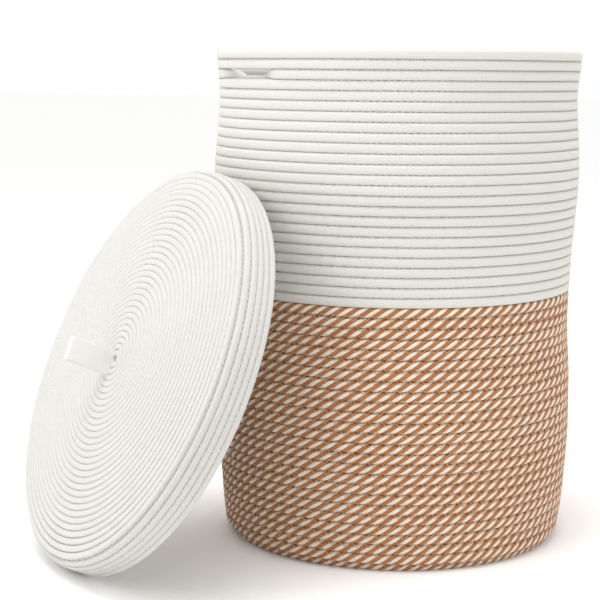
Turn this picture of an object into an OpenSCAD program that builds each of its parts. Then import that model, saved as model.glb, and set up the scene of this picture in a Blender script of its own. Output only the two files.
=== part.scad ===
// Laundry hamper with a lift-off lid, coiled from cotton rope and sewn row to row.
// The basket stands at the origin. The lid stands on the floor on its edge and leans on
// the wall, with its open side towards the basket, and a webbing loop pulls it off.

/* [Basket] */
// Mean outer radius of the basket wall
basket_r = 200; // [180:1:230]
// How far the wall bulges and draws in, as a share of its natural shape
wall_bulge = 1; // [0:0.1:1.2]
// Rows of two-tone rope in the lower wall, the first one turning up from the base
lower_rows = 26; // [20:1:32]
// Rows of white rope in the upper wall, the rim and handle rows included
upper_rows = 25; // [10:1:32]
// Rings of two-tone rope in the base
base_rings = 16; // [14:1:18]

/* [Rope] */
// Thickness of the two-tone rope, which is also the height of its rows
two_tone_d = 11; // [10:0.1:11.5]
// Thickness of the white rope of the basket
white_d = 10.6; // [10:0.1:11.5]
// Thickness of the lid's finer white rope
lid_rope_d = 6.9; // [6.5:0.1:7.5]
// Thickness of the sewing thread, drawn as one line in each groove
thread_d = 1.4; // [1:0.1:1.6]

/* [Hand slots] */
// Direction of the first hand slot from +X, the second being opposite
slot_angle = 210; // [0:5:355]
// Half of the angle that one slot takes up on the wall
slot_half_angle = 18; // [12:1:24]

/* [Lid] */
// Outer radius of the lid's skirt
lid_r = 224; // [218:1:250]
// Rings of rope in the lid's flat top
lid_rings = 31; // [29:1:33]
// Straight rows of rope in the lid's skirt
skirt_rows = 4; // [3:1:7]
// Rise of the lid's middle above its edge
lid_dome = 12; // [4:1:14]
// Tilt of the lid's axis from upright as it leans on the basket
lid_tilt = 66; // [60:1:72]
// Direction from the basket to the leaning lid
lid_angle = 207.5; // [0:0.5:359.5]
// Gap left between the leaning lid and the basket wall
lean_gap = 1.2; // [0.5:0.1:3]

/* [Pull loop] */
// Width of the cotton webbing
webbing_w = 26; // [20:1:30]
// Thickness of the cotton webbing
webbing_t = 1.8; // [1.4:0.1:2.2]
// Height of the loop above its fold line
loop_h = 50; // [40:1:60]
// Inner radius of the loop's round end
loop_eye_r = 5; // [4:0.5:7]
// Turn of the loop across the lid's middle
loop_turn = 10; // [0:1:30]
// Length of each webbing tail sewn down inside the lid
tail_l = 24; // [18:1:30]

/* [Hidden] */
$fn = 96;

two_tone = [0.80, 0.66, 0.52];
white_cotton = [0.91, 0.89, 0.84];
tan_thread = [0.72, 0.48, 0.26];
white_thread = [0.95, 0.94, 0.91];

// rows of a coil that touch are held by a core this wide, so that the coil is one solid
core_w = 4;
lid_core_w = 3;
// ropes of neighbouring coils stop this far short of each other
kiss = 0.02;
// sides that a coiled rope and its thread are drawn with
rope_sides = 12;
thread_sides = 6;
// how much thicker a rope is where it bends sharply
bend_fullness = 0.2;
// angle at which the first wall row climbs out of the base
foot_angle = 38;

// The wall's radius, as steps from the mean at equal heights from the floor to the rim:
// drawn in at the foot and the waist, full below the middle and again under the rim.
swell = [-8, -3, 0.5, 2, 2, -1, -2, 0, 3, 6.5, 4, 1.5, 5];
swell_steps = len(swell) - 1;
function knot(i) = swell[max(0, min(swell_steps, i))];
function spline(a, b, c, d, t) =
    0.5 * (2 * b + (c - a) * t + (2 * a - 5 * b + 4 * c - d) * t * t + (3 * b - a - 3 * c + d) * t * t * t);
function wall_r(z) =
    let (s = max(0, min(swell_steps - 0.001, z / basket_h * swell_steps)), i = floor(s))
    basket_r + wall_bulge * spline(knot(i - 1), knot(i), knot(i + 1), knot(i + 2), s - i);

// height of the colour change and of the rim
foot_rise = two_tone_d * cos(foot_angle);
lower_top = foot_rise + (lower_rows - 1) * two_tone_d;
basket_h = lower_top + upper_rows * white_d;

// centre of each lower row, as [radius, height]; row 0 is the foot of the wall
function lower_row(i) =
    let (first = two_tone_d / 2 + foot_rise, r1 = wall_r(first) - two_tone_d / 2)
    i == 0 ? [r1 - two_tone_d * sin(foot_angle), two_tone_d / 2]
           : let (z = first + (i - 1) * two_tone_d) [wall_r(z) - two_tone_d / 2, z];
// centre of each upper row, counted from the colour change upwards
function upper_row(i) =
    let (z = lower_top + (i + 0.5) * white_d) [wall_r(z) - white_d / 2, z];
rim_from = upper_rows - 2;
handle_row = upper_rows - 3;

// centre of each base ring
base_pitch = lower_row(0)[0] / (base_rings + 0.5);
function base_ring(i) = [(i + 0.5) * base_pitch, two_tone_d / 2];

// centres of the lid's rows in its own frame, the top ring at height 0 at the edge
lid_edge_r = lid_r - lid_rope_d / 2;
lid_flat_r = lid_edge_r - 1.15 * lid_rope_d;
lid_pitch = lid_flat_r / (lid_rings - 0.5);
function lid_rise(r) = lid_dome * (1 - pow(r / lid_flat_r, 2));
function lid_ring(i) = let (r = (i + 0.5) * lid_pitch) [r, lid_rise(r)];
function skirt_row(i) =
    i == 0 ? [lid_flat_r + 0.80 * lid_rope_d, -0.62 * lid_rope_d]
  : i == 1 ? [lid_edge_r - 0.04 * lid_rope_d, -1.56 * lid_rope_d]
           : [lid_edge_r, -(0.56 + i) * lid_rope_d];
lid_h = -skirt_row(skirt_rows)[1] + lid_rope_d / 2;

// The leaning lid: its open edge stands on the floor at the foot, and its skirt meets
// the wall at the head, both worked out in the plane that holds the two axes.
open_row = skirt_row(skirt_rows);
lid_z = lid_rope_d / 2 + open_row[0] * sin(lid_tilt) - open_row[1] * cos(lid_tilt);
head_z = lid_z + open_row[0] * sin(lid_tilt) + open_row[1] * cos(lid_tilt);
lid_x = wall_r(head_z) + lean_gap + lid_rope_d / 2 + open_row[0] * cos(lid_tilt) - open_row[1] * sin(lid_tilt);

// place of the webbing loop on the lid, and of the line that it folds about
loop_x = 8;
loop_y = -4;
top_z = lid_dome + lid_rope_d / 2;
hinge_z = top_z + 1.5;
hinge_gap = 0.4;
slit_gap = 0.4;
tail_drop = 0.4;

module on_lid() {
    translate([lid_x * cos(lid_angle), lid_x * sin(lid_angle), lid_z])
        rotate([0, lid_tilt, lid_angle])
            children();
}

module at_loop() {
    on_lid() translate([loop_x, loop_y, 0]) rotate(loop_turn) children();
}

// a stack of rope rows, joined by a core through their centres
module coil_outline(rows, d, core) {
    for (c = rows) translate(c) circle(d = d - kiss, $fn = rope_sides);
    climb = sign(rows[1][1] - rows[0][1]);
    shift = [climb * core / 2, 0];
    polygon(concat([for (c = rows) c + shift], [for (i = [len(rows) - 1:-1:0]) rows[i] - shift]));
}

// one line of thread in the outer groove between two rows, just clear of both ropes
module groove_thread(a, b, da, db) {
    ra = da / 2 + thread_d / 2 + kiss;
    rb = db / 2 + thread_d / 2 + kiss;
    gap = norm(b - a);
    along = (gap * gap + ra * ra - rb * rb) / (2 * gap);
    out = sqrt(max(0.01, ra * ra - along * along));
    u = (b - a) / gap;
    translate(a + u * along + [u[1], -u[0]] * out) circle(d = thread_d, $fn = thread_sides);
}

// the round path of one rope between two angles
module rope_arc(c, d, from, to) {
    rotate(from) rotate_extrude(angle = to - from) translate(c) circle(d = d - kiss);
}

// a place given by its radius, angle and height
function place(p) = [p[0] * cos(p[1]), p[0] * sin(p[1]), p[2]];

// a straight length of rope between two places
module rope_bar(p, q, d) {
    v = place(q) - place(p);
    translate(place(p)) rotate([0, acos(v[2] / norm(v)), atan2(v[1], v[0])])
        cylinder(d = d - kiss, h = norm(v));
}

// the full outside of a bend, a little fuller than the rope
module rope_bend(p, d) {
    translate(place(p)) sphere(d = d + bend_fullness);
}

module base_coil() {
    middle_h = 0.85 * two_tone_d;
    under_h = 0.4 * two_tone_d;
    color(two_tone) rotate_extrude() {
        for (i = [0:base_rings - 1]) translate(base_ring(i)) circle(d = base_pitch - kiss, $fn = rope_sides);
        square([base_ring(base_rings - 1)[0], under_h]);
        square([base_ring(0)[0], middle_h]);
    }
}

module base_stitching() {
    color(tan_thread) rotate_extrude()
        for (i = [1:base_rings - 1])
            groove_thread(base_ring(i), base_ring(i - 1), two_tone_d, two_tone_d);
}

module lower_wall_coil() {
    color(two_tone) rotate_extrude()
        coil_outline([for (i = [0:lower_rows - 1]) lower_row(i)], two_tone_d, core_w);
}

module lower_wall_stitching() {
    color(tan_thread) rotate_extrude() {
        for (i = [1:lower_rows - 1]) groove_thread(lower_row(i - 1), lower_row(i), two_tone_d, two_tone_d);
        groove_thread(lower_row(lower_rows - 1), upper_row(0), two_tone_d, white_d);
    }
}

module upper_wall_coil() {
    color(white_cotton) rotate_extrude()
        coil_outline([for (i = [0:handle_row - 1]) upper_row(i)], white_d, core_w);
}

module upper_wall_stitching() {
    color(white_thread) rotate_extrude()
        for (i = [1:handle_row - 1]) groove_thread(upper_row(i - 1), upper_row(i), white_d, white_d);
}

// The third row from the top. At each slot it turns in and passes behind the row below,
// which leaves the slot open.
module handle_row_coil() {
    row = upper_row(handle_row);
    below = upper_row(handle_row - 1);
    inner_r = below[0] - white_d - 0.1;
    turn_in = 3;
    turn_down = 3;
    color(white_cotton) for (side = [0, 180]) rotate(slot_angle + side) {
        rope_arc(row, white_d, slot_half_angle, 180 - slot_half_angle);
        rope_arc([inner_r, below[1]], white_d,
                 turn_in + turn_down - slot_half_angle, slot_half_angle - turn_in - turn_down);
        for (end = [-1, 1]) {
            start = [row[0], end * slot_half_angle, row[1]];
            turn = [inner_r, end * (slot_half_angle - turn_in), row[1]];
            finish = [inner_r, end * (slot_half_angle - turn_in - turn_down), below[1]];
            rope_bar(start, turn, white_d);
            rope_bar(turn, finish, white_d);
            for (p = [start, turn, finish]) rope_bend(p, white_d);
        }
    }
}

module rim_coil() {
    color(white_cotton) rotate_extrude()
        coil_outline([for (i = [rim_from:upper_rows - 1]) upper_row(i)], white_d, core_w);
}

// thread between the two rim rows all round, and above and below the handle row between the slots
module rim_stitching() {
    color(white_thread) {
        rotate_extrude() groove_thread(upper_row(rim_from), upper_row(rim_from + 1), white_d, white_d);
        for (side = [0, 180])
            rotate(slot_angle + side + slot_half_angle)
                rotate_extrude(angle = 180 - 2 * slot_half_angle)
                    for (i = [handle_row, rim_from])
                        groove_thread(upper_row(i - 1), upper_row(i), white_d, white_d);
    }
}

module lid_top_coil() {
    color(white_cotton) difference() {
        on_lid() rotate_extrude() {
            for (i = [0:lid_rings - 1]) translate(lid_ring(i)) circle(d = lid_rope_d - kiss, $fn = rope_sides);
            polygon(concat(
                [for (i = [0:lid_rings - 1]) lid_ring(i) - [i == 0 ? lid_ring(0)[0] : 0, lid_core_w / 2]],
                [for (i = [lid_rings - 1:-1:0]) lid_ring(i) + [i == 0 ? -lid_ring(0)[0] : 0, lid_core_w / 2]]
            ));
        }
        at_loop() cube([webbing_w + 2 * slit_gap, 2 * (webbing_t + slit_gap), 60], center = true);
    }
}

module lid_skirt_coil() {
    color(white_cotton) on_lid() rotate_extrude()
        coil_outline([for (i = [0:skirt_rows]) skirt_row(i)], lid_rope_d, lid_core_w);
}

// seams of the lid's top, outside the rings that the webbing passes through
module lid_top_stitching() {
    slit_reach = norm([loop_x, loop_y]) + webbing_w / 2 + thread_d;
    first_seam = ceil(slit_reach / lid_pitch);
    color(white_thread) on_lid() rotate_extrude()
        for (i = [first_seam:lid_rings - 1])
            groove_thread(lid_ring(i), lid_ring(i - 1), lid_rope_d, lid_rope_d);
}

module lid_skirt_stitching() {
    color(white_thread) on_lid() rotate_extrude() {
        groove_thread(skirt_row(0), lid_ring(lid_rings - 1), lid_rope_d, lid_rope_d);
        for (i = [1:skirt_rows]) groove_thread(skirt_row(i), skirt_row(i - 1), lid_rope_d, lid_rope_d);
    }
}

// the webbing loop, which stands up from the line it folds about; its legs part below the shoulder
module pull_loop() {
    eye_z = loop_h - loop_eye_r - webbing_t;
    start = webbing_t + hinge_gap;
    shoulder_z = 0.34 * loop_h;
    color(white_cotton) at_loop() translate([-webbing_w / 2, 0, hinge_z]) rotate([90, 0, 90])
        linear_extrude(webbing_w) {
            polygon([[-webbing_t, start], [webbing_t, start],
                     [loop_eye_r + webbing_t, shoulder_z], [loop_eye_r + webbing_t, eye_z],
                     [loop_eye_r, eye_z], [loop_eye_r, shoulder_z], [0, start + webbing_t],
                     [-loop_eye_r, shoulder_z], [-loop_eye_r, eye_z],
                     [-loop_eye_r - webbing_t, eye_z], [-loop_eye_r - webbing_t, shoulder_z]]);
            difference() {
                translate([0, eye_z]) circle(loop_eye_r + webbing_t);
                translate([0, eye_z]) circle(loop_eye_r);
                translate([-20, eye_z - 40]) square(40);
            }
        }
}

// the two tails of the webbing, together through the slit and sewn down apart inside the lid
module pull_loop_tails() {
    tail_z = lid_dome - lid_rope_d / 2 - tail_drop;
    color(white_cotton) at_loop() {
        translate([-webbing_w / 2, -webbing_t, tail_z - webbing_t / 2])
            cube([webbing_w, 2 * webbing_t, hinge_z - tail_z + webbing_t / 2]);
        translate([-webbing_w / 2, 0, hinge_z]) rotate([0, 90, 0]) cylinder(r = webbing_t, h = webbing_w);
        translate([-webbing_w / 2, -tail_l, tail_z - webbing_t]) cube([webbing_w, 2 * tail_l, webbing_t]);
    }
}

// a box of stitches on each tail
module pull_loop_stitching() {
    tail_z = lid_dome - lid_rope_d / 2 - tail_drop - webbing_t - kiss;
    inset = 4;
    line = 0.8;
    w = webbing_w - 2 * inset;
    l = tail_l - 2 * inset;
    color(white_thread) at_loop() for (side = [0, 1]) mirror([0, side, 0])
        translate([-w / 2, inset, tail_z - line]) difference() {
            cube([w, l, line]);
            translate([line, line, -1]) cube([w - 2 * line, l - 2 * line, 4]);
        }
}

base_coil();
base_stitching();
lower_wall_coil();
lower_wall_stitching();
upper_wall_coil();
upper_wall_stitching();
handle_row_coil();
rim_coil();
rim_stitching();
lid_top_coil();
lid_skirt_coil();
lid_top_stitching();
lid_skirt_stitching();
pull_loop();
pull_loop_tails();
pull_loop_stitching();
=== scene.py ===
"""Laundry hamper of coil-sewn cotton rope, its lift-off lid leaning on the wall, in metres with +Z up.

The basket and the lid are each one rope wound round and round and sewn to the turn before.
Every rope, thread and strap below is a surface worked out along the path that the real one takes.
"""

import bpy
import numpy as np
from mathutils import Matrix


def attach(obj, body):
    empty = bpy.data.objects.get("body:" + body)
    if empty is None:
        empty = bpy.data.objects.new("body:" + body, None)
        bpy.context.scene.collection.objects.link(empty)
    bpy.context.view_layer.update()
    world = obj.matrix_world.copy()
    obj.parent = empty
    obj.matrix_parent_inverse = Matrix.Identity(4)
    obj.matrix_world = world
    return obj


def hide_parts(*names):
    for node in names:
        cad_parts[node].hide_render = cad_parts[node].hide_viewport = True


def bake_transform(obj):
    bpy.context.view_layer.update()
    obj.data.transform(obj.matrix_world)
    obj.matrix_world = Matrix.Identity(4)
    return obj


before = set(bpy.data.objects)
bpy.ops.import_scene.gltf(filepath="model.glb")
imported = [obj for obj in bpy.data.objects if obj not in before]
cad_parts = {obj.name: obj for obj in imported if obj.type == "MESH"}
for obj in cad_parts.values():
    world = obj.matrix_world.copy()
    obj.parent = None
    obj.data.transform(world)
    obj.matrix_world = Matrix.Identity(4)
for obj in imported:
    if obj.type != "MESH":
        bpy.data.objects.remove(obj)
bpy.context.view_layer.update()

# ---- Base -------------------------------------------------------------------------------
# A disc of twisted two-tone cotton rope, wound flat from the middle outwards. Three strands
# are undyed cotton and three are dyed caramel, laid turn about into a rope 11 mm thick.

MM = 0.001
BACK = np.pi / 2            # direction in which each turn steps up to the next row
TWO_TONE_D = 11.0
WHITE_D = 10.6
BASE_RINGS, LOWER_ROWS, UPPER_ROWS = 16, 26, 25
BASKET_R = 200.0
# how far the wall stands out from its mean radius, at equal heights from floor to rim
SWELL = np.array([-8, -3, 0.5, 2, 2, -1, -2, 0, 3, 6.5, 4, 1.5, 5])
FOOT_ANGLE = np.radians(38)  # slope at which the first wall row climbs out of the base
FOOT_RISE = TWO_TONE_D * np.cos(FOOT_ANGLE)
LOWER_TOP = FOOT_RISE + (LOWER_ROWS - 1) * TWO_TONE_D
BASKET_H = LOWER_TOP + UPPER_ROWS * WHITE_D


def wall_radius(height):
    """The wall's outer radius: a Catmull-Rom curve through SWELL, read at a height from the floor."""
    steps = len(SWELL) - 1
    s = np.clip(np.asarray(height, float) / BASKET_H * steps, 0, steps - 0.001)
    i = np.floor(s).astype(int)
    t = s - i
    a, b, c, d = (SWELL[np.clip(i + k, 0, steps)] for k in (-1, 0, 1, 2))
    bend = (2 * a - 5 * b + 4 * c - d) * t ** 2 + (3 * b - a - 3 * c + d) * t ** 3
    return BASKET_R + 0.5 * (2 * b + (c - a) * t + bend)


def basket_rows():
    """Radius and height of every row's centre: the base rings at even spacing, the foot row on the
    floor, then rows stacked a rope apart whose outer side follows the wall."""
    lower_z = TWO_TONE_D / 2 + FOOT_RISE + np.arange(LOWER_ROWS - 1) * TWO_TONE_D
    lower = np.stack([wall_radius(lower_z) - TWO_TONE_D / 2, lower_z], 1)
    foot = [lower[0, 0] - TWO_TONE_D * np.sin(FOOT_ANGLE), TWO_TONE_D / 2]
    pitch = foot[0] / (BASE_RINGS + 0.5)
    rings = (np.arange(BASE_RINGS) + 0.5) * pitch
    base = np.stack([rings, np.full(BASE_RINGS, TWO_TONE_D / 2)], 1)
    upper_z = LOWER_TOP + (np.arange(UPPER_ROWS) + 0.5) * WHITE_D
    upper = np.stack([wall_radius(upper_z) - WHITE_D / 2, upper_z], 1)
    return np.vstack([base, foot, lower, upper])


def smooth(t):
    """Rises from 0 to 1 as t does, level at both ends."""
    t = np.clip(t, 0, 1)
    return t * t * (3 - 2 * t)


def row_at(turns, flat_rows):
    """The row that the rope is on after so many turns. On the flat coil it moves out evenly, as a
    spiral; on upright rows it keeps level and climbs to the next one over a short step at the back."""
    step = 0.11
    whole = np.floor(turns)
    part = turns - whole
    climb = smooth((part - 1 + step / 2) / step) + smooth((part + step / 2) / step) - 1
    spiral = 1 - smooth((turns - flat_rows + 5) / 5)
    return whole + (1 - spiral) * climb + spiral * (part - 0.5)


def wound(rows, turns, flat_rows):
    """Centre line of the rope at so many turns: radius and height read between the rows' centres,
    with the slight waviness of hand-fed work, and the direction round the axis."""
    before, after = 2 * rows[0] - rows[1], 2 * rows[-1] - rows[-2]
    table = np.vstack([before, rows, after])
    row = row_at(turns, flat_rows)
    radius, height = (np.interp(row + 1, np.arange(len(table)), table[:, k]) for k in (0, 1))
    angle = 2 * np.pi * turns + BACK
    wave = 0.35 * np.sin(3 * angle + 0.31 * row + 1.0) + 0.25 * np.sin(7 * angle - 0.83 * row)
    radius = radius + wave * smooth(radius / 60) * smooth((turns - flat_rows) / 2 + 1)
    return radius, height, angle


def even_turns(rows, first, last, spacing, flat_rows):
    """Turn counts from first to last that lie a given length of rope apart, closer at the middle."""
    fine = np.linspace(first, last, int((last - first) * 90) + 2)
    reach = np.maximum(wound(rows, fine, flat_rows)[0], 3 * spacing)
    length = np.concatenate([[0], np.cumsum(2 * np.pi * (reach[1:] + reach[:-1]) / 2 * np.diff(fine))])
    return np.interp(np.linspace(0, length[-1], int(length[-1] / spacing) + 2), length, fine)


def upright(radius, height, angle):
    """Points and their outward directions from radius, height and direction round the axis."""
    out = np.stack([np.cos(angle), np.sin(angle), 0 * angle], 1)
    return out * radius[:, None] + np.array([0, 0, 1]) * height[:, None], out


def carried(path, outward, around, reach, turn=0.0, pressed=2.0):
    """An outline carried along a path. Each ring lies square to the path, its points at angles
    around (plus turn) from the outward direction and at distances reach from the path. Sewn rows
    press each other: a circle is drawn out to a superellipse of the power given by pressed."""
    tangent = np.gradient(path, axis=0)
    tangent /= np.linalg.norm(tangent, axis=1, keepdims=True)
    normal = outward - (outward * tangent).sum(1, keepdims=True) * tangent
    normal /= np.linalg.norm(normal, axis=1, keepdims=True)
    side = np.cross(tangent, normal)
    angle = around[None, :] + np.reshape(turn, (-1, 1))
    cosine, sine = np.cos(angle), np.sin(angle)
    reach = reach / (np.abs(cosine) ** pressed + np.abs(sine) ** pressed) ** (1 / pressed)
    return (path[:, None] + (reach * cosine)[..., None] * normal[:, None]
            + (reach * sine)[..., None] * side[:, None])


def distance_along(path):
    """Length of the path up to each of its points."""
    return np.concatenate([[0], np.cumsum(np.linalg.norm(np.diff(path, axis=0), axis=1))])


def rounded_end(along, start, end, length):
    """Shrinks a rope to a rounded end, as an ellipse, over a length at its start, its end or both."""
    left = along / length if start else np.ones_like(along)
    right = (along[-1] - along) / length if end else np.ones_like(along)
    near = np.clip(np.minimum(left, right), 0, 1)
    return 0.12 + 0.88 * np.sqrt(1 - (1 - near) ** 2)


def make_piece(name, points, corners, sizes, uv, material):
    """A mesh piece from points in millimetres, its faces' corners in one list with each face's
    number of corners, and a UV for each corner."""
    mesh = bpy.data.meshes.new(name)
    mesh.vertices.add(len(points))
    mesh.loops.add(len(corners))
    mesh.polygons.add(len(sizes))
    mesh.vertices.foreach_set("co", (points * MM).astype(np.float32).ravel())
    mesh.loops.foreach_set("vertex_index", corners.astype(np.int32))
    starts = np.concatenate([[0], np.cumsum(sizes)[:-1]])
    mesh.polygons.foreach_set("loop_start", starts.astype(np.int32))
    mesh.polygons.foreach_set("use_smooth", np.ones(len(sizes), bool))
    mesh.update(calc_edges=True)
    layer = mesh.uv_layers.new(name="rope")
    layer.data.foreach_set("uv", uv.astype(np.float32).ravel())
    mesh.materials.append(material)
    piece = bpy.data.objects.new(name, mesh)
    bpy.context.scene.collection.objects.link(piece)
    return piece


def make_tube(name, grid, u, v, material):
    """A closed tube from a grid of points, ring by ring: quads between rings, and a fan of
    triangles on each end. u runs round a ring, its last value closing it, and v along the tube."""
    rings, sides = grid.shape[:2]
    points = np.vstack([grid.reshape(-1, 3), grid[0].mean(0), grid[-1].mean(0)])
    i, j = np.meshgrid(np.arange(rings - 1), np.arange(sides), indexing="ij")
    k = (j + 1) % sides
    quads = np.stack([i * sides + j, i * sides + k, (i + 1) * sides + k, (i + 1) * sides + j], -1)
    quad_u = np.stack([u[j], u[j + 1], u[j + 1], u[j]], -1)
    quad_v = np.stack([v[i], v[i], v[i + 1], v[i + 1]], -1)
    j = np.arange(sides)
    k = (j + 1) % sides
    last = (rings - 1) * sides
    head = np.stack([np.full(sides, rings * sides), k, j], -1)
    tail = np.stack([np.full(sides, rings * sides + 1), last + j, last + k], -1)
    cap_u = np.stack([u[j], u[j + 1], u[j]], -1)
    corners = np.concatenate([quads.ravel(), head.ravel(), tail.ravel()])
    sizes = np.concatenate([np.full(quads.size // 4, 4), np.full(2 * sides, 3)])
    all_u = np.concatenate([quad_u.ravel(), cap_u.ravel(), cap_u.ravel()])
    all_v = np.concatenate([quad_v.ravel(), np.full(3 * sides, v[0]), np.full(3 * sides, v[-1])])
    return make_piece(name, points, corners, sizes, np.stack([all_u, all_v], 1), material)


def colour(hex_value):
    """A linear RGBA colour from sRGB hex such as "#EFE9DC"."""
    parts = np.array([int(hex_value[k:k + 2], 16) for k in (1, 3, 5)]) / 255
    linear = np.where(parts <= 0.04045, parts / 12.92, ((parts + 0.055) / 1.055) ** 2.4)
    return (*(float(x) for x in linear), 1.0)


def add(tree, kind, inputs, **settings):
    """Adds a node: settings are its properties, inputs its sockets by name or number, each given a
    value or the socket that feeds it."""
    made = tree.nodes.new(kind)
    for name, value in settings.items():
        setattr(made, name, value)
    for key, value in inputs.items():
        if isinstance(value, bpy.types.NodeSocket):
            tree.links.new(value, made.inputs[key])
        else:
            made.inputs[key].default_value = value
    return made


def start_material(name, roughness, sheen):
    """An empty cotton material: its node tree and its shader. Cotton is a matt fibre of index about
    1.5 whose loose ends catch the light at a glancing angle, which the sheen gives."""
    material = bpy.data.materials.new(name)
    material.use_nodes = True
    tree = material.node_tree
    shader = tree.nodes["Principled BSDF"]
    shader.inputs["Roughness"].default_value = roughness
    shader.inputs["IOR"].default_value = 1.5
    shader.inputs["Specular IOR Level"].default_value = 0.25
    shader.inputs["Sheen Weight"].default_value = sheen
    shader.inputs["Sheen Roughness"].default_value = 0.5
    return material, tree, shader


def maths(tree, operation, a, b=0.0):
    """The output of one sum on two numbers or sockets."""
    return add(tree, "ShaderNodeMath", {0: a, 1: b}, operation=operation).outputs[0]


def mixed(tree, factor, first, second, blend="MIX"):
    """A colour between two colours or sockets."""
    inputs = {"Factor": factor, 6: first, 7: second}
    return add(tree, "ShaderNodeMix", inputs, data_type="RGBA", blend_type=blend).outputs[2]


def two_tone_cotton():
    """Twisted cotton rope, carded and undyed in three strands and dyed caramel in the other three.
    U counts strands, so the colour changes exactly in the creases; fibres run along each strand."""
    material, tree, shader = start_material("twisted_two_tone_cotton", 0.9, 0.2)
    uv = add(tree, "ShaderNodeSeparateXYZ", {0: add(tree, "ShaderNodeUVMap", {}, uv_map="rope").outputs[0]})
    strand, along = uv.outputs[0], uv.outputs[1]
    dyed = maths(tree, "GREATER_THAN", maths(tree, "MODULO", strand, 2.0), 1.0)
    # yarns 0.8 mm wide, laid at an angle across each strand and drawn 11 mm long
    across = maths(tree, "MULTIPLY", strand, 7.0)
    slant = maths(tree, "ADD", across, maths(tree, "MULTIPLY", along, 260.0))
    stretched = add(tree, "ShaderNodeCombineXYZ", {0: slant, 1: maths(tree, "MULTIPLY", along, 90.0)})
    yarn = add(tree, "ShaderNodeTexNoise", {"Vector": stretched.outputs[0], "Scale": 1.0, "Detail": 3.0,
                                            "Roughness": 0.6}).outputs[0]
    place = add(tree, "ShaderNodeTexCoord", {}).outputs["Object"]
    # the dye takes unevenly over stretches of about 15 mm
    patch = add(tree, "ShaderNodeTexNoise", {"Vector": place, "Scale": 65.0, "Detail": 2.0}).outputs[0]
    brown = mixed(tree, patch, colour("#9B6236"), colour("#B67A48"))
    cream = mixed(tree, patch, colour("#DBD0C1"), colour("#E9E1D5"))
    plain = mixed(tree, dyed, cream, brown)
    shade = add(tree, "ShaderNodeMapRange", {"Value": yarn, 1: 0.3, 2: 0.7, 3: 0.84, 4: 1.06}).outputs[0]
    grey = add(tree, "ShaderNodeCombineColor", {0: shade, 1: shade, 2: shade}).outputs[0]
    tree.links.new(mixed(tree, 1.0, plain, grey, "MULTIPLY"), shader.inputs["Base Color"])
    bump = add(tree, "ShaderNodeBump", {"Strength": 0.7, "Distance": 0.0004, "Height": yarn})
    tree.links.new(bump.outputs[0], shader.inputs["Normal"])
    return material


STRANDS = 6
STROKES_PER_TURN = 88       # pairs of strands that a wall row shows in one turn, alike in each row
WALL_TURNS_OF_TWIST = STROKES_PER_TURN / (STRANDS / 2)
FLAT_TWIST = 2 * np.pi * 195 / WALL_TURNS_OF_TWIST  # length of one full twist, 42 mm
STRAND_WIDTHS = 57.0, 63.0  # degrees of the outline that an undyed and a dyed strand take
CREASE_DEPTH = 0.85
TWO_TONE_PRESSED = 3.2      # power of the pressed section's superellipse; 2 is a circle
BASE_TAPER = 12.0           # length over which the rope's first end is rounded off


def strand_outline():
    """Outline of the twisted rope: six part-ellipses, the dyed strands a little wider, with a
    crease between each two. Returns angle, radius and strand count, the last value closing it."""
    cuts = 5
    widths = np.tile(np.radians(STRAND_WIDTHS), STRANDS // 2)
    starts = np.concatenate([[0], np.cumsum(widths)])
    t = np.arange(cuts) / cuts
    angle = (starts[:-1, None] + widths[:, None] * t).ravel()
    arch = np.sqrt(1 - (2 * t - 1) ** 2)
    radius = np.tile(TWO_TONE_D / 2 - CREASE_DEPTH * (1 - arch), STRANDS)
    count = np.append((np.arange(STRANDS)[:, None] + t).ravel(), STRANDS)
    return angle, radius, count


ROWS = basket_rows()
OUTLINE_ANGLE, OUTLINE_RADIUS, OUTLINE_COUNT = strand_outline()
two_tone = two_tone_cotton()


def twisted_rope(name, turns, twist, start_end=(False, False)):
    """One stretch of the two-tone rope, its outline turning as it goes along."""
    path, outward = upright(*wound(ROWS, turns, BASE_RINGS))
    along = distance_along(path)
    size = rounded_end(along, *start_end, BASE_TAPER)
    grid = carried(path, outward, OUTLINE_ANGLE, size[:, None] * OUTLINE_RADIUS[None, :], -twist,
                   TWO_TONE_PRESSED)
    return make_tube(name, grid, OUTLINE_COUNT, along * MM, two_tone)


base_turns = even_turns(ROWS, 0.3, BASE_RINGS, 3.9, BASE_RINGS)
base_twist = distance_along(upright(*wound(ROWS, base_turns, BASE_RINGS))[0]) / FLAT_TWIST * 2 * np.pi
base_rope = twisted_rope("base_rope", base_turns, base_twist, (True, False))
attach(base_rope, "basket")
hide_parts("base_coil")

# ---- Stitches of the base ----------------------------------------------------------------
# Tan polyester-cotton thread in a zigzag lock stitch, which bridges the groove between one
# turn and the next on both faces. Each leg dives into the rope at a needle hole.

THREAD_D = 0.9
# how far from the groove a leg's needle holes lie, on each of the basket's two ropes
TWO_TONE_REACH, WHITE_REACH = 3.0, 1.6


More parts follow.
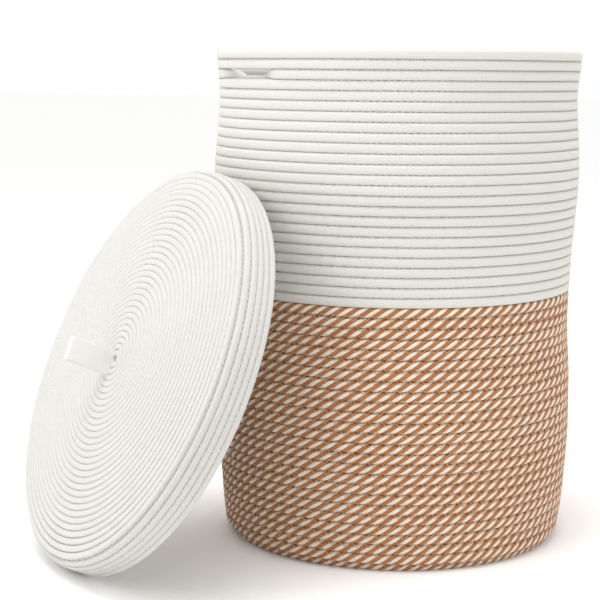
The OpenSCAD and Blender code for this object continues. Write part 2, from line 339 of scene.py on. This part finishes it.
def seam_legs(rows, first, last, flat_rows, sizes, face, stitch, reach, pressed, keep=None):
    """Both ends and the outward direction of each zigzag leg between a turn of rope and the next.
    The legs start on one rope and end on the other, reach from the groove, and sink in a little."""
    turns = even_turns(rows, first, last, stitch, flat_rows)
    radius_a, height_a, angle = wound(rows, turns, flat_rows)
    radius_b, height_b, _ = wound(rows, turns + 1, flat_rows)
    a, b = np.stack([radius_a, height_a], 1), np.stack([radius_b, height_b], 1)
    gap = np.linalg.norm(b - a, axis=1, keepdims=True)
    u = (b - a) / gap
    out = face * np.stack([u[:, 1], -u[:, 0]], 1)
    size_a, size_b = (np.interp(turns + k, *sizes)[:, None] / 2 for k in (0, 1))
    high_a, high_b = ((size ** pressed - (size - reach) ** pressed) ** (1 / pressed) - 0.55 * THREAD_D
                      for size in (size_a, size_b))
    on_a = a + u * (size_a - reach) + out * high_a
    on_b = b - u * (size_b - reach) + out * high_b
    hole = np.where((np.arange(len(turns)) % 2 == 0)[:, None], on_a, on_b)
    points, around = upright(hole[:, 0], hole[:, 1], angle)
    outward = around * out[:, :1] + np.array([0, 0, 1]) * out[:, 1:]
    legs = np.ones(len(turns) - 1, bool) if keep is None else keep(turns[1:])
    return points[:-1][legs], points[1:][legs], outward[:-1][legs]


def make_legs(name, start, end, outward, material, diameter=THREAD_D):
    """Thread legs as closed five-sided prisms, all in one piece. U runs along each leg."""
    sides = 5
    along = end - start
    along /= np.linalg.norm(along, axis=1, keepdims=True)
    normal = outward - (outward * along).sum(1, keepdims=True) * along
    normal /= np.linalg.norm(normal, axis=1, keepdims=True)
    side = np.cross(along, normal)
    angle = 2 * np.pi * np.arange(sides) / sides
    ring = diameter / 2 * (np.cos(angle)[None, :, None] * normal[:, None]
                           + np.sin(angle)[None, :, None] * side[:, None])
    points = np.stack([start[:, None] + ring, end[:, None] + ring], 1).reshape(-1, 3)
    j = np.arange(sides)
    k = (j + 1) % sides
    quads = np.stack([j, k, k + sides, j + sides], -1).ravel()
    one = np.concatenate([quads, j[::-1], j + sides])
    corners = (np.arange(len(start))[:, None] * 2 * sides + one[None, :]).ravel()
    sizes = np.tile([4] * sides + [sides, sides], len(start))
    v = np.concatenate([np.tile([0, 0, 1, 1], sides), np.zeros(sides), np.ones(sides)])
    uv = np.stack([np.tile(v, len(start)), np.zeros(len(corners))], 1)
    return make_piece(name, points, corners, sizes, uv, material)


def sewing_thread(name, dark, light):
    """Spun sewing thread. A fine noise, about 1 mm from one light spot to the next, stands in for
    its twisted plies."""
    material, tree, shader = start_material(name, 0.75, 0.15)
    place = add(tree, "ShaderNodeTexCoord", {}).outputs["Object"]
    plies = add(tree, "ShaderNodeTexNoise", {"Vector": place, "Scale": 900.0, "Detail": 1.0}).outputs[0]
    tree.links.new(mixed(tree, plies, colour(dark), colour(light)), shader.inputs["Base Color"])
    bump = add(tree, "ShaderNodeBump", {"Strength": 0.5, "Distance": 0.0002, "Height": plies})
    tree.links.new(bump.outputs[0], shader.inputs["Normal"])
    return material


tan_thread = sewing_thread("spun_tan_thread", "#B98455", "#DCAE80")
# thickness of the basket's rope along its turns: two-tone up to the colour change, then white
COLOUR_CHANGE = BASE_RINGS + LOWER_ROWS
BASKET_SIZES = ([0, COLOUR_CHANGE - 0.01, COLOUR_CHANGE, 100], [TWO_TONE_D, TWO_TONE_D, WHITE_D, WHITE_D])
STITCH = 6.6                # length of rope that one leg takes


def both_faces(name, rows, first, last, flat_rows, sizes, stitch, reach, pressed, material, keep=None):
    """The zigzags of a seam on both faces of the work, as one piece."""
    faces = [seam_legs(rows, first, last, flat_rows, sizes, face, stitch, reach, pressed, keep)
             for face in (1, -1)]
    start, end, outward = (np.vstack(x) for x in zip(*faces))
    return make_legs(name, start, end, outward, material)


base_stitches = both_faces("base_stitches", ROWS, 1.0, BASE_RINGS, BASE_RINGS, BASKET_SIZES, STITCH,
                           TWO_TONE_REACH, TWO_TONE_PRESSED, tan_thread)
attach(base_stitches, "basket")
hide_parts("base_stitching")

# ---- Lower wall --------------------------------------------------------------------------
# The same two-tone rope, carried on without a cut from the base up 26 rows. Its strands line
# up from row to row, so that the caramel shows as long strokes rising to the right.

wall_parts = np.array([0, 9, 18, LOWER_ROWS]) + BASE_RINGS
for number, (first, last) in enumerate(zip(wall_parts[:-1], wall_parts[1:]), 1):
    wall_turns = np.linspace(first, last, int((last - first) * STROKES_PER_TURN * 4) + 1)
    drift = 0.5 * np.sin(2 * np.pi * wall_turns * 3 + 1.7) + 0.25 * np.sin(wall_turns * 2.4)
    twist = 2 * np.pi * WALL_TURNS_OF_TWIST * wall_turns + drift
    rope = twisted_rope(f"lower_wall_rope_{number}", wall_turns, twist)
    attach(rope, "basket")
    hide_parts("lower_wall_coil")

lower_stitches = both_faces("lower_wall_stitches", ROWS, BASE_RINGS, COLOUR_CHANGE - 0.9, BASE_RINGS,
                            BASKET_SIZES, STITCH, TWO_TONE_REACH, TWO_TONE_PRESSED, tan_thread)
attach(lower_stitches, "basket")
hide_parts("lower_wall_stitching")

# ---- Upper wall --------------------------------------------------------------------------
# Undyed braided cotton rope 10.6 mm thick, butted to the two-tone rope at the colour change
# and wound on upwards. The braid's yarns cross on the surface as small diamonds.


def braided_cotton(name, diameter, light, groove):
    """Braided cotton cord, bleached. The braid shows as diamonds 3 mm wide and 3.4 mm long, one where
    each two yarns cross, and the creases between them are painted in the darker groove colour as shade."""
    material, tree, shader = start_material(name, 0.9, 0.25)
    uv = add(tree, "ShaderNodeSeparateXYZ", {0: add(tree, "ShaderNodeUVMap", {}, uv_map="rope").outputs[0]})
    count = round(np.pi * diameter / 3.0)
    round_it = maths(tree, "MULTIPLY", uv.outputs[0], float(count))
    along = maths(tree, "MULTIPLY", uv.outputs[1], 1000 / 3.4)
    waves = []
    for operation in ("ADD", "SUBTRACT"):
        phase = maths(tree, "MULTIPLY", maths(tree, operation, round_it, along), float(np.pi))
        waves.append(maths(tree, "ABSOLUTE", maths(tree, "SINE", phase)))
    diamond = maths(tree, "POWER", maths(tree, "MULTIPLY", *waves), 0.6)
    place = add(tree, "ShaderNodeTexCoord", {}).outputs["Object"]
    # loose fibres and the uneven cream of undyed cotton, over 0.5 mm and 40 mm
    fuzz = add(tree, "ShaderNodeTexNoise", {"Vector": place, "Scale": 1800.0, "Detail": 2.0}).outputs[0]
    patch = add(tree, "ShaderNodeTexNoise", {"Vector": place, "Scale": 25.0, "Detail": 2.0}).outputs[0]
    height = maths(tree, "ADD", diamond, maths(tree, "MULTIPLY", fuzz, 0.35))
    cream = mixed(tree, patch, colour(light), mixed(tree, 0.3, colour(light), colour("#DED9CD")))
    depth = add(tree, "ShaderNodeMapRange", {"Value": height, 1: 0.1, 2: 0.85, 3: 0.0, 4: 1.0}).outputs[0]
    # painted shade: the low creases of the braid take the darker groove colour
    tree.links.new(mixed(tree, depth, colour(groove), cream), shader.inputs["Base Color"])
    bump = add(tree, "ShaderNodeBump", {"Strength": 0.6, "Distance": 0.0005, "Height": height})
    tree.links.new(bump.outputs[0], shader.inputs["Normal"])
    return material


white_cotton = braided_cotton("braided_white_cotton", WHITE_D, "#D7D6D1", "#C3C1B8")
WHITE_PRESSED = 4.2         # power of its section's superellipse
ROUND_SIDES = 16


def round_rope(name, path, outward, diameter, pressed, material, ends=(False, False), taper=None):
    """A braided rope along a path, its section pressed to a superellipse. Whichever ends are named
    are rounded off over the length of taper. U goes once round it and V is its length."""
    along = distance_along(path)
    around = 2 * np.pi * np.arange(ROUND_SIDES) / ROUND_SIDES
    size = rounded_end(along, *ends, taper) * diameter / 2
    grid = carried(path, outward, around, np.repeat(size[:, None], ROUND_SIDES, 1), 0.0, pressed)
    return make_tube(name, grid, np.arange(ROUND_SIDES + 1) / ROUND_SIDES, along * MM, material)


HANDLE_ROW = COLOUR_CHANGE + UPPER_ROWS - 3
RIM_FROM = HANDLE_ROW + 1
ROPE_STEP = 3.6
for number, (first, last) in enumerate(((COLOUR_CHANGE, HANDLE_ROW - 11), (HANDLE_ROW - 11, HANDLE_ROW)), 1):
    turns = even_turns(ROWS, first, last, ROPE_STEP, BASE_RINGS)
    rope = round_rope(f"upper_wall_rope_{number}", *upright(*wound(ROWS, turns, BASE_RINGS)), WHITE_D,
                      WHITE_PRESSED, white_cotton)
    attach(rope, "basket")
    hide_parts("upper_wall_coil")

white_thread = sewing_thread("spun_white_thread", "#CBC9C0", "#DAD8D1")
upper_stitches = both_faces("upper_wall_stitches", ROWS, COLOUR_CHANGE, HANDLE_ROW - 1, BASE_RINGS,
                            BASKET_SIZES, STITCH, WHITE_REACH, WHITE_PRESSED, white_thread)
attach(upper_stitches, "basket")
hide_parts("upper_wall_stitching")

# ---- Hand slots --------------------------------------------------------------------------
# The third row from the top is left unsewn at two opposite places. There it turns in behind
# the row below, which opens a slot for the fingers under the two rim rows.

SLOT_ANGLE = np.radians(210)
SLOT_HALF = np.radians(18)
# degrees from the slot's middle at which the rope starts to move, and the degrees that it takes
TURN_IN, TURN_IN_OVER = 18.5, 9
DROP, DROP_OVER = 15, 8
DROP_SHARE = 0.65           # part of a row's height that the rope drops by
SLOT_GAP = 0.1


def from_slot(angle):
    """Angle from the middle of the nearer hand slot."""
    return np.abs((angle - SLOT_ANGLE + np.pi / 2) % np.pi - np.pi / 2)


turns = even_turns(ROWS, HANDLE_ROW, RIM_FROM, 2.4, BASE_RINGS)
radius, height, angle = wound(ROWS, turns, BASE_RINGS)
below_radius, below_height, _ = wound(ROWS, turns - 1, BASE_RINGS)
away = np.degrees(from_slot(angle))
inwards = smooth((TURN_IN - away) / TURN_IN_OVER)
downwards = DROP_SHARE * smooth((DROP - away) / DROP_OVER)
radius = radius + (below_radius - WHITE_D - SLOT_GAP - radius) * inwards
height = height + (below_height - height) * downwards
handle_rope = round_rope("handle_row_rope", *upright(radius, height, angle), WHITE_D, WHITE_PRESSED,
                         white_cotton)
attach(handle_rope, "basket")
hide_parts("handle_row_coil")

# ---- Rim ---------------------------------------------------------------------------------
# Two last rows of the white rope, sewn to each other all round and to the rows below between
# the hand slots. The rope's cut end is rounded off and tucked against the row under it.

RIM_TURNS = 1.985           # two rows, less the rounded end
RIM_TAPER = 45.0
turns = even_turns(ROWS, RIM_FROM, RIM_FROM + RIM_TURNS, ROPE_STEP, BASE_RINGS)
rim_rope = round_rope("rim_rope", *upright(*wound(ROWS, turns, BASE_RINGS)), WHITE_D, WHITE_PRESSED,
                      white_cotton, (False, True), RIM_TAPER)
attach(rim_rope, "basket")
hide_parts("rim_coil")


def clear_of_slots(turns):
    """Whether a leg of the rim's seams is sewn: only the seam between the rim's own two rows
    crosses the hand slots."""
    between = from_slot(2 * np.pi * turns + BACK) > SLOT_HALF + 0.05
    return between | (turns > RIM_FROM + 0.03)


rim_stitches = both_faces("rim_stitches", ROWS, HANDLE_ROW - 1, RIM_FROM + 0.94, BASE_RINGS,
                          BASKET_SIZES, STITCH, WHITE_REACH, WHITE_PRESSED, white_thread, clear_of_slots)
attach(rim_stitches, "basket")
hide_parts("rim_stitching")

# ---- Lid ---------------------------------------------------------------------------------
# A finer braided rope, 6.9 mm, wound flat for 31 rings with a slight dome and then turned over
# the edge into a skirt of five rows. The lid stands on its open edge and leans on the wall.

LID_ROPE_D = 6.9
LID_R = 224.0
LID_RINGS, SKIRT_ROWS = 31, 4
LID_PRESSED = 7.5, 4.2        # the flat top's rings press each other more than the skirt's rows
LID_DOME = 12.0
LID_TILT = np.radians(66)
LID_ANGLE = np.radians(207.5)
LEAN_GAP = 1.2
LID_STEP = 3.8              # length of rope between two rings of its mesh
LID_TAPER = 25.0
LAST_TURN = 0.985           # the skirt's last row, less the rounded end


def lid_rows():
    """Radius and height of the lid's rows in its own frame: rings on a shallow dome, two rows that
    turn over the edge, and straight rows of the skirt below them."""
    edge = LID_R - LID_ROPE_D / 2
    flat = edge - 1.15 * LID_ROPE_D
    rings = (np.arange(LID_RINGS) + 0.5) * flat / (LID_RINGS - 0.5)
    top = np.stack([rings, LID_DOME * (1 - (rings / flat) ** 2)], 1)
    turn = [[flat + 0.8 * LID_ROPE_D, -0.62 * LID_ROPE_D], [edge - 0.04 * LID_ROPE_D, -1.56 * LID_ROPE_D]]
    straight = [[edge, -(0.56 + i) * LID_ROPE_D] for i in range(2, SKIRT_ROWS + 1)]
    return np.vstack([top, turn, straight])


LID_ROWS = lid_rows()
open_r, open_h = LID_ROWS[-1]
lid_z = LID_ROPE_D / 2 + open_r * np.sin(LID_TILT) - open_h * np.cos(LID_TILT)
head_z = lid_z + open_r * np.sin(LID_TILT) + open_h * np.cos(LID_TILT)
lid_x = (wall_radius(head_z) + LEAN_GAP + LID_ROPE_D / 2
         + open_r * np.cos(LID_TILT) - open_h * np.sin(LID_TILT))
lid_centre = np.array([lid_x * np.cos(LID_ANGLE), lid_x * np.sin(LID_ANGLE), lid_z])


def turned(angle, axis):
    """Rotation matrix by an angle about the Y axis (1) or the Z axis (2)."""
    c, s = np.cos(angle), np.sin(angle)
    return np.array([[[c, 0, s], [0, 1, 0], [-s, 0, c]], [[c, -s, 0], [s, c, 0], [0, 0, 1]]][axis - 1])


lid_turn = turned(LID_ANGLE, 2) @ turned(LID_TILT, 1)


def on_lid(vectors, is_place=True):
    """Places, or directions, given in the lid's own frame, in the row frame."""
    return vectors @ lid_turn.T + (lid_centre if is_place else 0)


# half a turn about the lid's axis, which puts the rope's steps and its cut end on the hidden side
HALF_TURN = np.array([-1.0, -1.0, 1.0])
# The lid's white is set darker than the wall's white, a painted shade that offsets the stronger light
# falling on the lid's face.
fine_cotton = braided_cotton("fine_braided_white_cotton", LID_ROPE_D, "#C7C6C3", "#C1C0BC")
for name, node, first, last, pressed, ends in (
        ("lid_top_rope", "lid_top_coil", 0.15, LID_RINGS, LID_PRESSED[0], (True, False)),
        ("lid_skirt_rope", "lid_skirt_coil", LID_RINGS, LID_RINGS + SKIRT_ROWS + LAST_TURN, LID_PRESSED[1],
         (False, True))):
    turns = even_turns(LID_ROWS, first, last, LID_STEP, LID_RINGS)
    path, outward = upright(*wound(LID_ROWS, turns, LID_RINGS))
    rope = round_rope(name, on_lid(path * HALF_TURN), on_lid(outward * HALF_TURN, False), LID_ROPE_D,
                      pressed, fine_cotton, ends, LID_TAPER)
    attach(rope, "lid")
    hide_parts(node)

# ---- Stitches of the lid -----------------------------------------------------------------
# White thread in the same zigzag, finer, its legs shorter to suit the finer rope.

LID_STITCH = 5.6
LID_REACH = 1.2
LID_THREAD_D = 0.8
LID_SIZES = ([0, 100], [LID_ROPE_D, LID_ROPE_D])
for name, node, first, last, pressed in (
        ("lid_top_stitches", "lid_top_stitching", 4.2, LID_RINGS - 1.0, LID_PRESSED[0]),
        ("lid_skirt_stitches", "lid_skirt_stitching", LID_RINGS - 1.0, LID_RINGS + SKIRT_ROWS - 0.06,
         LID_PRESSED[1])):
    faces = [seam_legs(LID_ROWS, first, last, LID_RINGS, LID_SIZES, face, LID_STITCH, LID_REACH, pressed)
             for face in (1, -1)]
    start, end, outward = (np.vstack(x) for x in zip(*faces))
    legs = make_legs(name, on_lid(start * HALF_TURN), on_lid(end * HALF_TURN),
                     on_lid(outward * HALF_TURN, False), white_thread, LID_THREAD_D)
    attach(legs, "lid")
    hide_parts(node)

# ---- Pull loop ---------------------------------------------------------------------------
# One strip of 26 mm cotton webbing, folded in two. It stands out of a slit near the lid's
# middle as a flat loop, and its tails are spread and sewn down inside.

WEBBING_W, WEBBING_T = 26.0, 1.8
LOOP_AT = np.array([8.0, -4.0, 0.0])
LOOP_TURN = np.radians(10)
LOOP_H = 50.0
TAIL_L = 24.0
TAIL_DROP = 0.4             # gap between the lid's underside and the tails
FOLD_RISE = 1.5             # height of the fold line above the rings
tail_z = LID_DOME - LID_ROPE_D / 2 - TAIL_DROP - WEBBING_T / 2
hinge_z = LID_DOME + LID_ROPE_D / 2 + FOLD_RISE
loop_turn = turned(LOOP_TURN, 2)


def at_loop(vectors, is_place=True):
    """Places, or directions, given in the loop's own frame, in the row frame."""
    return on_lid(vectors @ loop_turn.T + (LOOP_AT if is_place else 0), is_place)


def softened(points, times):
    """A path with its corners cut again and again, each time to a quarter and three quarters of
    every side, so that it bends smoothly. Its ends stay."""
    for _ in range(times):
        a, b = points[:-1], points[1:]
        cut = np.stack([0.75 * a + 0.25 * b, 0.25 * a + 0.75 * b], 1).reshape(-1, points.shape[1])
        points = np.vstack([points[:1], cut, points[-1:]])
    return points


def webbing_path():
    """The strip's centre line across (y) and up (z): along one tail, up through the slit, round
    the loop and down again to the other tail."""
    half, lip = WEBBING_T / 2 + 0.05, 3.0
    top = hinge_z + LOOP_H - WEBBING_T / 2
    side = [(-TAIL_L, tail_z), (-TAIL_L / 2, tail_z), (-3.0, tail_z), (-half, tail_z + 0.6),
            (-half, tail_z + 4), (-half, hinge_z), (-half, hinge_z + 4), (-lip * 0.8, hinge_z + 18),
            (-lip, hinge_z + 32), (-lip, top - 4), (-lip, top)]
    return softened(np.array(side + [(-y, z) for y, z in reversed(side)]), 3)


def band_outline(width, thickness):
    """Outline of a flat strip with rounded edges, a superellipse: angle and distance from its
    middle, the strip's thickness lying in the outward direction."""
    t = 2 * np.pi * np.arange(28) / 28
    x = thickness / 2 * np.sign(np.cos(t)) * np.abs(np.cos(t)) ** 0.5
    y = width / 2 * np.sign(np.sin(t)) * np.abs(np.sin(t)) ** 0.6
    return np.arctan2(y, x), np.hypot(x, y), y


def cotton_webbing():
    """Plain-woven cotton webbing: ribs 1.1 mm across it and picks 1.5 mm along it, over and under."""
    material, tree, shader = start_material("woven_cotton_webbing", 0.9, 0.25)
    uv = add(tree, "ShaderNodeSeparateXYZ", {0: add(tree, "ShaderNodeUVMap", {}, uv_map="rope").outputs[0]})
    across = maths(tree, "MULTIPLY", uv.outputs[0], float(2 * np.pi / 2.2))
    along = maths(tree, "MULTIPLY", uv.outputs[1], float(2 * np.pi / 0.003))
    weave = maths(tree, "MULTIPLY", maths(tree, "SINE", across), maths(tree, "SINE", along))
    height = maths(tree, "MULTIPLY_ADD", weave, 0.5)
    height.node.inputs[2].default_value = 0.5
    place = add(tree, "ShaderNodeTexCoord", {}).outputs["Object"]
    fuzz = add(tree, "ShaderNodeTexNoise", {"Vector": place, "Scale": 1500.0, "Detail": 2.0}).outputs[0]
    shade = maths(tree, "ADD", maths(tree, "MULTIPLY", height, 0.7), maths(tree, "MULTIPLY", fuzz, 0.3))
    # Painted light: these whites are lighter than the lid rope's, to make up for the loop's face turned away
    # from the lamps. Where the weave dips, the colour is darker, a painted shade.
    tree.links.new(mixed(tree, shade, colour("#D3D2CD"), colour("#E8E7E3")), shader.inputs["Base Color"])
    bump = add(tree, "ShaderNodeBump", {"Strength": 0.5, "Distance": 0.0004, "Height": height})
    tree.links.new(bump.outputs[0], shader.inputs["Normal"])
    return material


strip = webbing_path()
path = np.stack([np.zeros(len(strip)), strip[:, 0], strip[:, 1]], 1)
direction = np.gradient(path, axis=0)
facing = np.stack([0 * strip[:, 0], -direction[:, 2], direction[:, 1]], 1)
band_angle, band_reach, band_across = band_outline(WEBBING_W, WEBBING_T)
grid = carried(path, facing, band_angle, np.repeat(band_reach[None, :], len(path), 0))
webbing = make_tube("pull_loop_webbing", at_loop(grid.reshape(-1, 3)).reshape(grid.shape),
                    np.append(band_across, band_across[0]), distance_along(path) * MM, cotton_webbing())
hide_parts("pull_loop", "pull_loop_tails")
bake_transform(webbing)

# ---- Box stitches of the loop ------------------------------------------------------------
# Each tail is sewn down with a box of white thread and a cross inside it.


def box_stitch_legs():
    """Ends of the straight runs of thread on both tails: four sides of a box and two diagonals,
    each cut into stitches 3 mm long."""
    w, near, far, z = WEBBING_W / 2 - 4, 4.0, TAIL_L - 4, tail_z - WEBBING_T / 2 - 0.1
    box = np.array([(-w, near), (w, near), (w, far), (-w, far)])
    runs = [(box[i], box[(i + 1) % 4]) for i in range(4)] + [(box[0], box[2]), (box[1], box[3])]
    starts, ends = [], []
    for a, b in runs:
        count = int(np.linalg.norm(b - a) / 3)
        t = np.arange(count)[:, None] / count
        starts.append(a + (b - a) * (t + 0.1 / count))
        ends.append(a + (b - a) * (t + 0.8 / count))
    start, end = np.vstack(starts), np.vstack(ends)
    halves = [np.stack([p[:, 0], side * p[:, 1], np.full(len(p), z)], 1)
              for side in (1, -1) for p in (start, end)]
    return np.vstack([halves[0], halves[2]]), np.vstack([halves[1], halves[3]])


start, end = box_stitch_legs()
down = np.tile([[0.0, 0.0, -1.0]], (len(start), 1))
box_stitches = make_legs("pull_loop_stitches", at_loop(start), at_loop(end), at_loop(down, False),
                         white_thread)
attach(box_stitches, "lid")
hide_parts("pull_loop_stitching")

# ---- Studio ------------------------------------------------------------------------------
# A pale floor that fades into a pale room, soft light from above and the front left with a weak
# one from the front right, and the camera a little above the hamper's middle, as a fit to the
# photograph's outlines gave it.


def studio_floor():
    """A flat square floor, matt and nearly white."""
    half = 30.0
    mesh = bpy.data.meshes.new("studio_floor")
    corners = [(-half, -half, 0), (half, -half, 0), (half, half, 0), (-half, half, 0)]
    mesh.from_pydata(corners, [], [(0, 1, 2, 3)])
    material = bpy.data.materials.new("matt_paper")
    material.use_nodes = True
    shader = material.node_tree.nodes["Principled BSDF"]
    shader.inputs["Base Color"].default_value = colour("#FCFCFB")
    shader.inputs["Roughness"].default_value = 0.95
    mesh.materials.append(material)
    floor = bpy.data.objects.new("studio_floor", mesh)
    bpy.context.scene.collection.objects.link(floor)
    return floor


studio_floor()


def soft_light(name, place, target, width, watts):
    """A square area light of a given width that faces a target."""
    data = bpy.data.lights.new(name, "AREA")
    data.size = width
    data.energy = watts
    light = bpy.data.objects.new(name, data)
    light.location = place
    towards = np.array(place) - np.array(target)
    towards = towards / np.linalg.norm(towards)
    right = np.cross([0, 0, 1], towards)
    right = right / np.linalg.norm(right)
    up = np.cross(towards, right)
    light.rotation_euler = Matrix(np.stack([right, up, towards], 1).tolist()).to_euler()
    bpy.context.scene.collection.objects.link(light)


soft_light("top", (-0.3, -0.4, 2.5), (-0.1, 0.01, 0.3), 1.6, 32.0)
soft_light("key", (-2.1, -1.5, 1.9), (-0.1, 0, 0.3), 1.6, 17.0)
soft_light("fill", (2.2, -2.0, 1.6), (0, 0, 0.3), 2.2, 3.0)

world = bpy.data.worlds.new("pale_room")
world.use_nodes = True
world.node_tree.nodes["Background"].inputs["Color"].default_value = (1.0, 1.0, 1.0, 1.0)
world.node_tree.nodes["Background"].inputs["Strength"].default_value = 1.0
bpy.context.scene.world = world
bpy.context.scene.view_settings.view_transform = "Standard"


def looking(data, place, pitch, yaw, roll):
    """The camera object at a place, turned down by pitch, round by yaw and over by roll, in degrees."""
    p, w, r = np.radians([pitch, yaw, roll])
    ahead = np.array([np.sin(w) * np.cos(p), np.cos(w) * np.cos(p), -np.sin(p)])
    right = np.array([np.cos(w), -np.sin(w), 0])
    up = np.cross(right, ahead)
    right, up = np.cos(r) * right + np.sin(r) * up, np.cos(r) * up - np.sin(r) * right
    camera = bpy.data.objects.new("camera", data)
    turn = Matrix(np.stack([right, up, -ahead], 1).tolist()).to_4x4()
    turn.translation = place
    camera.matrix_world = turn
    bpy.context.scene.collection.objects.link(camera)
    return camera


lens = bpy.data.cameras.new("lens")
lens.sensor_width = 36.0
lens.lens = 96.0
bpy.context.scene.camera = looking(lens, (-0.1105, -1.8276, 0.5279), 8.226, 0.06, 0.467)
